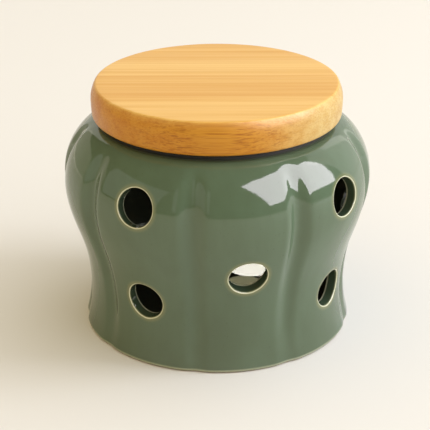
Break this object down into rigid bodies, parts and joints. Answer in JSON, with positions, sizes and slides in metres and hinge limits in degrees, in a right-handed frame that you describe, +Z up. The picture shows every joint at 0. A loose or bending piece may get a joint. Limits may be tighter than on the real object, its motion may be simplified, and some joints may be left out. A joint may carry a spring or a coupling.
{
  "type": "garlic keeper",
  "caption": "Lobed glazed stoneware storage jar with round vent holes through its wall, closed by a thick bamboo lid whose plug and soft ring sit in the mouth.",
  "frame": {"origin": "middle of the foot, on the surface that the jar stands on", "axes": "+Z up, the way the lid lifts; the front of the jar faces -Y and +X is to its right"},
  "size_m": [0.1238, 0.124, 0.1018],
  "materials": {
    "glazed_stoneware": "glossy sage green glaze, thin and pale at the vent edges, bare clay under the foot",
    "bamboo": "satin lacquered bamboo, fine straight grain along X",
    "bamboo_plug": "sanded bamboo, grain along Y",
    "silicone": "translucent milky silicone"
  },
  "bodies": {
    "jar": {"jar": "glazed_stoneware"},
    "seal": {"seal_ring": "silicone"},
    "lid": {"lid_disc": "bamboo", "lid_plug": "bamboo_plug"}
  },
  "joints": [
    {"name": "lid_lift", "type": "slide", "parent": "jar", "child": "seal", "axis": [0, 0, 1], "range_m": [0, 0.09]},
    {"name": "lid_turn", "type": "hinge", "parent": "seal", "child": "lid", "pos_m": [0, 0, 0.0887], "axis": [0, 0, 1], "continuous": true}
  ]
}
